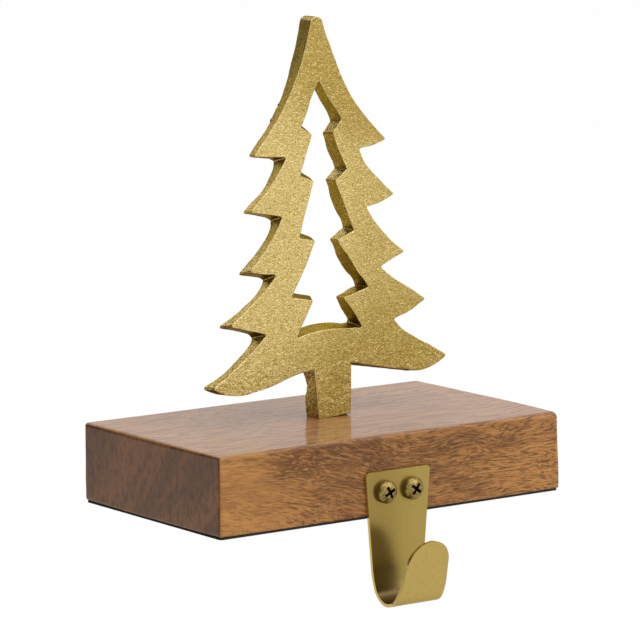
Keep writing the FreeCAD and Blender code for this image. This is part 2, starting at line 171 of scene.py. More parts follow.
def addPiece(name, mesh):
    piece = bpy.data.objects.new(name, mesh)
    scene.collection.objects.link(piece)
    return piece


def copyOfNode(nodeName, pieceName):  # a welded copy of a node's mesh, free to be worked on
    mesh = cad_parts[nodeName].data.copy()
    work = bmesh.new()
    work.from_mesh(mesh)
    bmesh.ops.remove_doubles(work, verts=work.verts, dist=0.001 * mm)
    work.to_mesh(mesh)
    work.free()
    if "custom_normal" in mesh.attributes:
        mesh.attributes.remove(mesh.attributes["custom_normal"])
    return addPiece(pieceName, mesh)


def settle(piece):  # the modifiers' result becomes the piece's own mesh
    shown = piece.evaluated_get(bpy.context.evaluated_depsgraph_get())
    settled = bpy.data.meshes.new_from_object(shown)
    piece.modifiers.clear()
    piece.data = settled


def easeEdges(piece, width, segments, angle=35.0):  # small round bevels and clean shading
    bevel = piece.modifiers.new("easedEdges", "BEVEL")
    bevel.width = width
    bevel.segments = segments
    bevel.limit_method = "ANGLE"
    bevel.angle_limit = math.radians(angle)
    bevel.harden_normals = False
    settle(piece)
    piece.data.shade_smooth()
    piece.data.set_sharp_from_angle(angle=math.radians(angle))
    piece.modifiers.new("flatNormals", "WEIGHTED_NORMAL").keep_sharp = True
    settle(piece)


def readPoints(mesh, field):
    points = np.zeros(len(mesh.vertices) * 3)
    mesh.vertices.foreach_get(field, points)
    return points.reshape(-1, 3)


def step(value, low, high):  # smooth step in numpy
    share = np.clip((value - low) / (high - low), 0.0, 1.0)
    return share * share * (3 - 2 * share)


def lumps(points, *layers):  # layers of noise of about -1 to 1 at each point: size, share and seed
    total = 0.0
    for size, share, seed in layers:
        shift = Vector((seed, 2 * seed, -seed))
        total += share * np.array([noise.noise(Vector(point) / size + shift) for point in points])
    return total


# cast tree

treeForm = {
    "sheet": 6.3 * mm,            # thickness above the foot
    "axisX": 3.4 * mm,
    "lean": 3.0,                  # degrees, to the left
    "edge": 0.3 * mm,
    "edgeSegments": 2,
    "edgeAngle": 50.0,            # degrees
    "flatAngle": 0.3,             # degrees, below which the CAD's facets are joined
    "cell": 1.08 * mm,            # the faces are cut on this grid, and each cell in four
    "layers": 5,
    "pullReach": 4.6 * mm,        # how far a corner's own pull and its rounding spread
    "roundReach": 2.2 * mm,
    "pullStart": (0.5 * mm, 6 * mm),    # heights over which the pull up and down sets in
    "ledgeDepth": 0.35,           # the window's left ledges rise within this share of the depth
    # layers of lumps: size, share and seed
    "lumps": ((6 * mm, 0.65, 3), (2.2 * mm, 0.35, 11)),
    "grain": ((1.0 * mm, 0.7, 7), (0.6 * mm, 0.5, 19)),
    "burrLumps": (0.8 * mm, 1.0, 5),
    "grainStretch": (0.8, 1.0, 1.25),
    "grainHeight": 0.06 * mm,
    "wallLump": 0.12 * mm,
    "faceLump": 0.05 * mm,
    "wallFacing": (0.5, 0.9),     # how squarely a point faces front or back where walls end
    # the burr on the back's upper left edge: height, share of the depth, heights, distance to the left
    "burr": 0.55 * mm,
    "burrFill": 0.2,              # how far it fills the hollows between its lumps
    "burrDepth": (0.7, 0.95),
    "burrLow": (127 * mm, 131 * mm),
    "burrHigh": (138 * mm, 142 * mm),
    "burrLeft": (7 * mm, 16 * mm),
    # the thicker foot's back slopes in below footTop, by a share of what it is thicker
    "footTop": 9.6 * mm,
    "footSlope": 2.6 * mm,
    "footShare": 0.85,
    # the gap under the foot's front edge: its height, and where it fades out up, back and to the left
    "gap": 0.5 * mm,
    "gapUp": (0.2 * mm, 2.0 * mm),
    "gapBack": (0.1, 0.5),
    "gapLeft": (-1 * mm, 9 * mm),
}

# corners of the outline and of the window, and points between them, all mm: reach from the
# leaning axis, height above the foot, and how far the front's edge is pulled out and up there,
# on the left and on the right
treeCorners = {
    "crown": ((2.3, 140.2), (0.0, 0.0), (0.5, 0.0)),
    "neck": ((6.5, 126.0), (0.0, 0.0), (0.7, 0.0)),
    "collar": ((9.6, 118.5), (0.0, 0.0), (0.1, 0.0)),
    "shoulder": ((13.5, 110.5), (0.0, 0.0), (-0.4, 0.0)),
    "brow1": ((20.5, 102.5), (0.0, 0.0), (-0.3, 0.0)),
    "apex": ((0.0, 119.4), (0.0, 0.0), (0.0, 0.0)),
    "tip1": ((28.5, 95.8), (0.4, -0.7), (-0.2, -0.3)),
    "under1": ((22.0, 94.4), (0.0, -0.4), (0.0, -0.6)),
    "notch1": ((15.7, 93.6), (-0.6, -0.2), (0.5, 0.9)),
    "brow2": ((18.6, 89.3), (-0.3, 0.0), (-1.1, 0.0)),
    "bough2": ((22.5, 84.5), (-0.5, 0.0), (-0.4, 0.0)),
    "tip2": ((30.9, 76.9), (0.4, -0.7), (-0.1, -0.7)),
    "under2": ((24.5, 74.3), (0.0, -0.3), (0.0, -1.0)),
    "notch2": ((18.1, 72.9), (0.1, -0.1), (-0.2, 0.7)),
    "brow3": ((21.3, 67.5), (-0.1, 0.0), (-0.1, 0.0)),
    "bough3": ((25.0, 62.5), (-0.4, 0.0), (0.1, 0.0)),
    "tip3": ((33.6, 55.3), (-1.0, 0.3), (0.8, 0.0)),
    "under3": ((28.0, 53.4), (0.0, 0.0), (0.0, -0.4)),
    "notch3": ((22.3, 52.2), (-0.7, 0.7), (0.7, -0.5)),
    "brow4": ((27.5, 46.5), (-0.1, 0.0), (0.3, 0.0)),
    "bough4": ((35.0, 41.5), (0.0, 0.0), (0.9, 0.3)),
    "tip4": ((42.4, 37.8), (-0.3, -0.6), (0.4, -0.3)),
    "under4": ((35.0, 34.6), (0.0, -0.4), (0.2, -1.2)),
    "notch4": ((27.5, 32.3), (-0.3, -0.3), (0.2, 0.2)),
    "brow5": ((31.5, 28.5), (-0.3, 0.0), (-0.8, -0.1)),
    "middle5": ((37.0, 24.4), (-0.2, 0.0), (0.0, 0.1)),
    "bough5": ((43.0, 20.5), (-0.2, 0.0), (0.4, 0.4)),
    "tip5": ((50.7, 16.4), (-0.1, -0.2), (0.4, 0.0)),
    "hem1": ((44.0, 14.2), (0.0, -0.75), (0.0, 0.0)),
    "skirt": ((37.1, 12.8), (0.0, -1.05), (0.0, 0.0)),
    "hem2": ((33.0, 13.5), (0.0, -1.25), (0.0, 0.0)),
    "hem3": ((27.5, 14.6), (0.0, -1.45), (0.0, 0.0)),
    "hem4": ((22.5, 15.5), (0.0, -0.9), (0.0, 0.0)),
    "hem5": ((16.5, 16.6), (0.0, -0.1), (0.0, 0.2)),
    "trunk": ((8.3, 18.2), (-0.5, -0.4), (-0.1, 0.6)),
    "shin": ((7.7, 11.0), (-0.4, 0.0), (0.0, 0.0)),
    "ankle": ((7.2, 5.5), (0.0, 0.0), (0.0, 0.0)),
    "foot": ((6.9, 0.0), (-0.15, 0.0), (0.0, 0.0)),
    "pocket1": ((9.0, 104.0), (-0.7, -0.7), (0.0, 1.5)),
    "tooth1": ((4.7, 100.3), (-0.7, 0.2), (0.3, 0.1)),
    "stile1": ((7.4, 93.7), (-0.4, 0.0), (0.0, 0.0)),
    "pocket2": ((10.0, 87.2), (-0.1, -0.9), (0.6, 0.3)),
    "tooth2": ((4.85, 84.0), (-0.8, 0.5), (0.0, -0.4)),
    "stile2": ((8.6, 75.0), (-0.8, 0.0), (0.0, 0.0)),
    "pocket3": ((12.4, 65.7), (-1.1, -1.0), (-0.2, -0.2)),
    "tooth3": ((5.3, 62.9), (-0.6, 0.4), (-0.6, -0.1)),
    "stile3": ((10.9, 53.6), (-1.0, 0.0), (0.0, 0.0)),
    "pocket4": ((16.6, 44.4), (-0.6, -0.3), (0.7, 0.4)),
    "tooth4": ((6.75, 42.3), (0.1, 0.0), (-0.6, -0.2)),
    "stile4": ((10.6, 36.0), (0.0, 0.0), (0.0, 0.0)),
    "sill": ((14.5, 30.0), (0.3, -0.5), (-0.4, 0.5)),
    "arch": ((5.0, 31.3), (0.0, 0.0), (0.0, 0.0)),
}
# the back's pulls by corner or kind of corner, on the left and on the right: the back hangs
# lower, with rounder notches, and its window is smaller
backPulls = {
    "tip1": ((-1.8, -1.4), (-0.4, -0.9)),
    "tip2": ((-0.5, -1.6), (-0.4, -0.9)),
    "tip3": ((0.2, -1.4), (-0.4, -0.9)),
    "tip4": ((1.0, -1.6), (-0.4, -0.9)),
    "tip5": ((0.4, -0.8), (-0.4, -0.9)),
    "neck": ((-0.1, 0.0), (0.0, 0.0)),
    "collar": ((-1.1, 0.0), (-0.3, 0.0)),
    "shoulder": ((-1.9, 0.0), (-0.5, 0.0)),
    "brow1": ((-2.3, -0.3), (-0.8, -0.4)),
    "brow": ((-1.5, -1.4), (-0.4, -0.9)),
    "brow5": ((-0.5, -1.4), (-0.4, -0.9)),
    "bough": ((-1.0, -1.3), (-0.4, -0.9)),
    "bough2": ((-2.0, -1.3), (-0.4, -0.9)),
    "middle": ((-0.6, -1.3), (-0.4, -0.9)),
    "under": ((-0.2, -1.5), (-0.1, -1.2)),
    "notch": ((-0.2, -1.5), (-0.1, -1.0)),
    "notch4": ((0.9, -1.5), (-0.1, -1.0)),
    "skirt": ((-0.4, -0.8), (-0.4, -0.8)),
    "hem": ((-0.2, -1.3), (-0.1, -0.9)),
    "trunk": ((0.5, -0.9), (0.0, -1.2)),
    "hem5": ((-0.2, -0.8), (-0.1, -0.9)),
    "shin": ((-0.9, 0.0), (0.0, 0.0)),
    "tooth": ((-0.6, 1.4), (0.4, -0.6)),
    "stile": ((-0.5, 0.0), (-0.9, 0.0)),
    "stile3": ((-0.8, 0.0), (-1.2, 0.0)),
    "pocket": ((-0.3, 1.5), (-0.2, 0.6)),
    "sill": ((-1.2, 1.2), (-1.6, 1.7)),
    "arch": ((0.0, 1.5), (0.0, 1.5)),
}
# what fills the back's corners: how far they are pulled out and up, within roundReach
backRounds = {"notch": (1.1, -0.5), "pocket": (-0.4, -0.3), "sill": (-1.0, 0.6)}

goldFinish = {
    "bright": colour(0.86, 0.70, 0.33),
    "face": colour(0.56, 0.425, 0.155),
    "low": colour(0.375, 0.262, 0.066),
    "pit": colour(0.24, 0.155, 0.030),
    "wall": colour(0.48, 0.355, 0.120),
    "wallPit": colour(0.28, 0.195, 0.052),
    # painted light on walls that slope up and on the trunk's sides
    "slope": colour(0.90, 0.73, 0.36),
    "slopePit": colour(0.25, 0.17, 0.042),
    "window": colour(0.46, 0.315, 0.066),
    "windowPit": colour(0.22, 0.135, 0.022),
    # painted shade on undersides and on the window's left ledges
    "under": colour(0.17, 0.105, 0.018),
    # painted highlight along the front-left edges
    "edge": colour(0.92, 0.76, 0.38),
    "trunkGlint": colour(0.92, 0.76, 0.28),
    "glance": colour(0.80, 0.67, 0.38),   # what a low angle of view reflects
    "roughness": (0.52, 0.34),    # in the pits and on the glints
    "sand": (1875, 2500, 3000),   # noises per metre: fine grain, the coarser skin below, blotches
    "skin": (800, 1000, 1300),
    "blotch": (60, 60, 60),
    "bump": (0.8, 0.1 * mm),
    # shares in the grain: the mesh's own grain, the skin, and more of it low down on the tree
    "castShare": 0.08,
    "skinShare": 0.18,
    "lowSkinShare": 0.3,
    "lowSkin": (60 * mm, 42 * mm),
    # where the face is warmer and darker: at the foot, at the crown and on the right
    "warmFoot": (85 * mm, 35 * mm),
    "warmCrown": (112 * mm, 150 * mm, 0.0, 1.1),
    "warmRight": (-42 * mm, 30 * mm, -1.0, 0.35),
    "warmBlotch": 0.5,
    "warmFull": 1.2,
    "pits": (0.5, 0.2, 0.0, 0.9),
    "glints": (0.5, 0.8),
    "glintShare": (0.85, 0.3),    # and how much less where it is warm
    # facing: 1 looks to the front or back and 0 sideways; the edges with the painted highlight lie
    # between two ramps
    "wallFacing": (0.75, 0.35),
    "highlightFrom": (0.98, 0.88),
    "highlightTo": (0.3, 0.55),
    "highlightLeft": (0.1, -0.3, 0.45, 0.95),
    "wallGrain": 0.9,
    "wallBlotch": 0.3,
    "wallPits": (0.70, 0.50),
    "trunkTop": (46 * mm, 40 * mm),
    "trunkGlints": (0.42, 0.58),
    # walls by their normal: level ones in the window, slopes up and to the left with painted light, and
    # undersides with painted shade
    "level": (0.88, 0.96),
    "slopeUp": (0.42, 0.74),
    "slopeLeft": (-0.2, -0.45),
    "slopeFoot": (62 * mm, 52 * mm),
    "slopeShare": (0.2, -0.2, 0.3, 0.9),
    "down": (-0.3, -0.75, 0.0, 0.85),
    # painted shade on the ledges on the window's left: up, to the right, and left of the axis
    "ledgeUp": (0.25, 0.5),
    "ledgeRight": (-0.05, 0.1),
    "ledgeLeft": (0.0, -2 * mm, 0.0, 0.8),
}


def cutGrid(piece, axis, low, high, count):  # cuts the mesh by count planes between low and high
    work = bmesh.new()
    work.from_mesh(piece.data)
    across = Vector(float(i == axis) for i in range(3))
    for value in np.linspace(low, high, count + 2)[1:-1]:
        bmesh.ops.bisect_plane(work, geom=[*work.verts, *work.edges, *work.faces],
                               plane_co=across * value, plane_no=across, dist=0.01 * mm)
    work.to_mesh(piece.data)
    work.free()


def pullCorners(x, z, depth, footZ):  # how far each point moves, in x and in z
    lean = math.tan(math.radians(treeForm["lean"]))
    total = np.full(len(x), 1e-9)
    moveX, moveZ = np.zeros(len(x)), np.zeros(len(x))
    roundX, roundZ = np.zeros(len(x)), np.zeros(len(x))
    for name, ((reach, height), *fronts) in treeCorners.items():
        kind = name.rstrip("12345")
        backs = backPulls.get(name, backPulls.get(kind, ((0.0, 0.0), (0.0, 0.0))))
        fill = backRounds.get(kind, (0.0, 0.0))
        for sign, front, back in zip((-1, 1), fronts, backs):
            # the ledges on the window's left rise close behind the front
            ledge = sign < 0 and kind in ("pocket", "tooth")
            deep = np.clip(depth / treeForm["ledgeDepth"], 0.0, 1.0) if ledge else depth
            cornerX = treeForm["axisX"] + (sign * reach - height * lean) * mm
            distance = np.hypot(x - cornerX, z - footZ - height * mm)
            weight = np.exp(-(distance / treeForm["pullReach"]) ** 2)
            total += weight
            moveX += weight * sign * (front[0] * (1 - deep) + back[0] * deep) * mm
            moveZ += weight * (front[1] * (1 - deep) + back[1] * deep) * mm
            near = np.exp(-(distance / treeForm["roundReach"]) ** 2) * depth ** 2 * mm
            roundX += near * sign * fill[0]
            roundZ += near * fill[1]
    return moveX / total + roundX, moveZ / total + roundZ


def shapeTree():
    tree = copyOfNode("tree", "castTree")
    flatten = tree.modifiers.new("flatFaces", "DECIMATE")
    flatten.decimate_type = "DISSOLVE"
    flatten.angle_limit = math.radians(treeForm["flatAngle"])
    settle(tree)
    bevel = tree.modifiers.new("easedEdges", "BEVEL")
    bevel.width = treeForm["edge"]
    bevel.segments = treeForm["edgeSegments"]
    bevel.limit_method = "ANGLE"
    bevel.angle_limit = math.radians(treeForm["edgeAngle"])
    settle(tree)
    low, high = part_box("tree")
    for axis in (0, 2):
        cells = round((high[axis] - low[axis]) / treeForm["cell"])
        cutGrid(tree, axis, low[axis], high[axis], cells - 1)
    cutGrid(tree, 1, low.y, high.y, treeForm["layers"])
    finer = tree.modifiers.new("quarterCells", "SUBSURF")
    finer.subdivision_type = "SIMPLE"
    finer.levels = finer.render_levels = 1
    settle(tree)
    tree.data.shade_smooth()

    place = readPoints(tree.data, "co")
    normal = readPoints(tree.data, "normal")
    x, y, z = place.T
    height = z - low.z
    depth = np.clip((y - low.y) / treeForm["sheet"], 0.0, 1.0)
    fromAxis = x - treeForm["axisX"] + height * math.tan(math.radians(treeForm["lean"]))
    wall = 1 - step(np.abs(normal[:, 1]), *treeForm["wallFacing"])

    grain = lumps(place * np.array(treeForm["grainStretch"]), *treeForm["grain"])
    lift = lumps(place, *treeForm["lumps"]) * (treeForm["faceLump"] + wall * treeForm["wallLump"])
    lift += grain * treeForm["grainHeight"]
    ragged = np.clip(lumps(place, treeForm["burrLumps"]) + treeForm["burrFill"], 0.0, 1.0)
    ragged *= step(depth, *treeForm["burrDepth"]) * wall * step(-fromAxis, *treeForm["burrLeft"])
    ragged *= step(z, *treeForm["burrLow"]) * (1 - step(z, *treeForm["burrHigh"]))
    lift += ragged * treeForm["burr"]

    pullX, pullZ = pullCorners(x, z, depth, low.z)
    place += normal * lift[:, None]
    place[:, 0] += pullX
    place[:, 2] += pullZ * step(height, *treeForm["pullStart"])
    proud = np.clip(y - low.y - treeForm["sheet"], 0.0, None)
    slope = step(height, treeForm["footTop"] - treeForm["footSlope"], treeForm["footTop"])
    place[:, 1] -= treeForm["footShare"] * proud * slope
    gap = (1 - step(height, *treeForm["gapUp"])) * (1 - step(depth, *treeForm["gapBack"]))
    place[:, 2] += gap * step(x, *treeForm["gapLeft"]) * treeForm["gap"]
    place = np.clip(place, np.array(low), np.array(high))
    tree.data.vertices.foreach_set("co", place.ravel())
    tree.data.attributes.new("castGrain", "FLOAT", "POINT").data.foreach_set("value", grain)
    tree.data.update()
    return tree


def castGold():
    finish, tree, shader = newFinish("castGold")
    gold = goldFinish
    place = placeOf(tree)
    x, y, z = axesOf(tree, place)
    normal = normalOf(tree)
    facing = maths(tree, "ABSOLUTE", normal[1])
    wall = ramp(tree, facing, *gold["wallFacing"])
    worn = maths(tree, "MULTIPLY", ramp(tree, facing, *gold["highlightFrom"]),
                 ramp(tree, facing, *gold["highlightTo"]))
    cast = tree.nodes.new("ShaderNodeAttribute")
    cast.attribute_name = "castGrain"
    sand = cloud(tree, place, gold["sand"], 1.0)
    skin = cloud(tree, place, gold["skin"], 2.0, 0.6, 0.8)
    blotch = cloud(tree, place, gold["blotch"], 3.0)
    grain = maths(tree, "ADD", maths(tree, "MULTIPLY", cast.outputs["Fac"], gold["castShare"]), sand)
    lowSkin = centred(tree, skin, gold["lowSkinShare"])
    lowSkin = maths(tree, "MULTIPLY", lowSkin, ramp(tree, z, *gold["lowSkin"]))
    grain = maths(tree, "ADD", maths(tree, "ADD", grain, centred(tree, skin, gold["skinShare"])), lowSkin)

    # darker and warmer at the foot, on the right and at the crown
    warm = maths(tree, "ADD", ramp(tree, z, *gold["warmFoot"]), ramp(tree, z, *gold["warmCrown"]))
    warm = maths(tree, "ADD", warm, ramp(tree, x, *gold["warmRight"]))
    warm = maths(tree, "ADD", warm, maths(tree, "MULTIPLY", blotch, gold["warmBlotch"]))
    warmth = ramp(tree, warm, 0.0, gold["warmFull"])
    face = mixColour(tree, warmth, gold["face"], gold["low"])
    face = mixColour(tree, ramp(tree, grain, *gold["pits"]), face, gold["pit"])
    share, lessWarm = gold["glintShare"]
    glints = maths(tree, "SUBTRACT", share, maths(tree, "MULTIPLY", warmth, lessWarm))
    face = mixColour(tree, ramp(tree, grain, *gold["glints"], 0.0, glints), face, gold["bright"])
    # a painted highlight along the front-left edges
    leftEdgeHighlight = maths(tree, "MULTIPLY", worn, ramp(tree, normal[0], *gold["highlightLeft"]))
    face = mixColour(tree, leftEdgeHighlight, face, gold["edge"])

    # walls: olive outside, browner in the window, lighter and golden where they slope, as painted light,
    # and painted shade underneath
    shade = maths(tree, "ADD", maths(tree, "MULTIPLY", grain, gold["wallGrain"]),
                  maths(tree, "MULTIPLY", blotch, gold["wallBlotch"]))
    shade = ramp(tree, shade, *gold["wallPits"])
    outer = mixColour(tree, shade, gold["wall"], gold["wallPit"])
    inner = mixColour(tree, shade, gold["window"], gold["windowPit"])
    litSlopeColour = mixColour(tree, shade, gold["slope"], gold["slopePit"])
    # z stands in for the height above the foot here, which is near enough
    leaning = maths(tree, "MULTIPLY", z, math.tan(math.radians(treeForm["lean"])))
    fromAxis = maths(tree, "ADD", maths(tree, "SUBTRACT", x, treeForm["axisX"]), leaning)
    inWindow = ramp(tree, maths(tree, "MULTIPLY", fromAxis, normal[0]), 1 * mm, -1 * mm)
    inWindow = maths(tree, "MAXIMUM", inWindow, ramp(tree, normal[2], *gold["level"]))
    side = mixColour(tree, inWindow, outer, inner)
    litSlope = maths(tree, "MULTIPLY", ramp(tree, normal[2], *gold["slopeUp"]),
                   ramp(tree, normal[0], *gold["slopeLeft"]))
    litSlope = maths(tree, "MAXIMUM", litSlope, ramp(tree, z, *gold["slopeFoot"]))
    litSlope = maths(tree, "MULTIPLY", litSlope, ramp(tree, normal[0], *gold["slopeShare"]))
    side = mixColour(tree, litSlope, side, litSlopeColour)
    onTrunk = maths(tree, "MULTIPLY", ramp(tree, z, *gold["trunkTop"]),
                    ramp(tree, grain, *gold["trunkGlints"]))
    side = mixColour(tree, onTrunk, side, gold["trunkGlint"])
    side = mixColour(tree, ramp(tree, normal[2], *gold["down"]), side, gold["under"])
    body = mixColour(tree, wall, face, side)
    # painted shade on the small ledges on the window's left
    ledge = maths(tree, "MULTIPLY", ramp(tree, normal[2], *gold["ledgeUp"]),
                  ramp(tree, normal[0], *gold["ledgeRight"]))
    ledge = maths(tree, "MULTIPLY", ledge, ramp(tree, fromAxis, *gold["ledgeLeft"]))
    body = mixColour(tree, ledge, body, gold["under"])
    feed(tree, shader.inputs["Base Color"], body)
    shader.inputs["Metallic"].default_value = 1.0
    shader.inputs["Specular Tint"].default_value = gold["glance"]
    feed(tree, shader.inputs["Roughness"], ramp(tree, grain, 0.2, 0.8, *gold["roughness"]))
    height = maths(tree, "ADD", sand, maths(tree, "MULTIPLY", skin, 2.0))
    feed(tree, shader.inputs["Normal"], bumpOf(tree, height, *gold["bump"]))
    return finish


castTree = shapeTree()
paint(castTree, castGold())
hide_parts("tree")
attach(castTree, "root")
print("cast tree:", len(castTree.data.polygons), "faces")


# wooden block

blockForm = {
    "edge": 1.15 * mm,
    "edgeWave": 0.25 * mm,
    "reach": 14 * mm,             # how far a corner's own rounding spreads
    "waveSize": 16 * mm,
    # corner signs in x, y, z and what it adds to the edge's radius
    "corners": (((1, -1, 1), 1.3 * mm), ((1, 1, 1), 0.6 * mm), ((-1, -1, -1), 0.5 * mm),
                ((-1, 1, -1), 0.4 * mm), ((-1, -1, 1), -0.3 * mm)),
    "lowerEdge": 0.4 * mm,        # how much sharper the lower edges are
    "fineBand": 3.2 * mm,         # closely divided strip along each edge
    "fineSteps": 9,
    "coarse": 5.0 * mm,
}


def divisions(low, high):
    band = blockForm["fineBand"]
    fine = np.linspace(0, band, blockForm["fineSteps"])
    count = max(2, round((high - low - 2 * band) / blockForm["coarse"]))
    middle = np.linspace(low + band, high - band, count + 1)[1:-1]
    return [*(low + fine), *middle, *(high - fine[::-1])]


def edgeRadius(point, low, high):
    radius = blockForm["edge"] + blockForm["edgeWave"] * noise.noise(point / blockForm["waveSize"])
    if point.z < (low.z + high.z) / 2:
        radius -= blockForm["lowerEdge"]
    for signs, extra in blockForm["corners"]:
        corner = Vector(high[i] if signs[i] > 0 else low[i] for i in range(3))
        radius += extra * math.exp(-((point - corner).length / blockForm["reach"]) ** 2)
    return radius


def shapeBlock(name, low, high):
    work = bmesh.new()
    lines = [divisions(low[i], high[i]) for i in range(3)]
    for axis in range(3):
        first, second = [i for i in range(3) if i != axis]
        for side in (low[axis], high[axis]):
            rows = []
            for a in lines[first]:
                row = []
                for b in lines[second]:
                    point = Vector((0, 0, 0))
                    point[axis], point[first], point[second] = side, a, b
                    row.append(work.verts.new(point))
                rows.append(row)
            for above, below in zip(rows, rows[1:]):
                for i in range(len(above) - 1):
                    work.faces.new((above[i], above[i + 1], below[i + 1], below[i]))
    bmesh.ops.remove_doubles(work, verts=work.verts, dist=0.001 * mm)
    for vert in work.verts:
        radius = edgeRadius(vert.co, low, high)
        inner = Vector(min(max(vert.co[i], low[i] + radius), high[i] - radius) for i in range(3))
        outward = vert.co - inner
        vert.co = inner + outward.normalized() * radius
    bmesh.ops.recalc_face_normals(work, faces=work.faces)
    mesh = bpy.data.meshes.new(name)
    work.to_mesh(mesh)
    work.free()
    mesh.shade_smooth()
    return addPiece(name, mesh)


woodFinish = {
    "tan": colour(0.50, 0.228, 0.056),
    "brown": colour(0.27, 0.106, 0.022),
    "plum": colour(0.135, 0.043, 0.006),
    "pore": colour(0.075, 0.024, 0.004),
    "top": colour(0.45, 0.235, 0.105),
    "topDark": colour(0.25, 0.11, 0.048),
    "end": colour(0.165, 0.064, 0.018),
    "endWarm": colour(0.27, 0.108, 0.030),
    "endDark": colour(0.085, 0.028, 0.008),
    "roughness": 0.55,
    "coat": 0.5,
    "coatRoughness": 0.13,
    "specular": 0.1,
    "bump": (0.3, 0.05 * mm),
    "poreDepth": 1.5,             # against the fibres' height
    # how far the fibres wander, in long swings and in tight curls, and noises per metre of each
    "swing": 11 * mm,
    "swingScale": (16, 26, 30),
    "curl": 1.3 * mm,
    "curlScale": (70, 60, 90),
    # how far they come down on the front, from its left to its middle
    "drift": (-68 * mm, 5 * mm, 0.0, 15 * mm),
    # figure on the fibres: noises per metre along and the two ways across, and where it shows
    "bandScale": (13, 210, 210),
    "bandRange": (0.22, 0.84),
    "bandLeft": (-62 * mm, -18 * mm, -0.07, 0.13),
    "bandRight": (15 * mm, 60 * mm, 0.0, -0.17),
    "patchScale": (26, 260, 260),
    "patchRange": (0.48, 0.76, 0.0, 0.25),
    "fibreScale": (130, 1500, 1500),
    "fibreBreaks": (0.36, 0.58, 0.45, 0.95),
    "fibrePale": (0.5, 0.34, 0.0, 0.6),
    "fibreDark": (0.5, 0.66),
    "sweepScale": (20, 800, 800),
    "sweepRange": (0.56, 0.68, 0.0, 0.75),
    "poreScale": (220, 1800, 1800),
    "poreRange": (0.54, 0.61),
    "poreShare": 0.8,
    "deepX": (-60 * mm, -25 * mm, 0.38, 0.85),    # dark lines are fainter at the left
    "topScale": (34, 520, 520),
    "topRange": (0.42, 0.60),
    "topUp": (0.5, 0.95, 0.0, 0.8),
    # end grain: where it begins by the normal, slanting zones and a fine mottle
    "endSide": (0.62, 0.92),
    "endSlant": 0.9,
    "zoneScale": (1, 42, 16),
    "zoneRange": (0.42, 0.6),
    "mottleScale": (600, 640, 260),
    "mottleDark": (0.46, 0.66, 0.0, 0.7),
    "mottleWarm": (0.47, 0.34, 0.0, 0.4),
    # dark streaks on the front, in mm: from x, to x, from height, to height, half the width, and
    # how dark each is
    "streaks": (
        (-52, 0, 25, 20, 9, 1.0),
        (-30, -8, 12, 10, 5, 0.8),
        (12, 44, 17, 3, 7, 0.65),
        (4, 60, 25, 24, 5, 0.6),
    ),
    "streakCore": 0.25,           # share of half the width that is fully dark
    "streakFade": 9 * mm,         # at each end
    "streakDepth": 14 * mm,       # how far into the block they go
}


def streakMask(tree, x, z, streak, wander):
    fromX, toX, fromZ, toZ, half = (value * mm for value in streak)
    fade = woodFinish["streakFade"]
    slope = (toZ - fromZ) / (toX - fromX)
    line = maths(tree, "MULTIPLY_ADD", x, slope)
    line.node.inputs[2].default_value = fromZ - slope * fromX
    off = maths(tree, "ABSOLUTE", maths(tree, "ADD", maths(tree, "SUBTRACT", z, line), wander))
    band = ramp(tree, off, half, woodFinish["streakCore"] * half)
    start = ramp(tree, x, fromX - fade, fromX + fade)
    end = ramp(tree, x, toX + fade, toX - fade)
    return maths(tree, "MULTIPLY", band, maths(tree, "MULTIPLY", start, end))


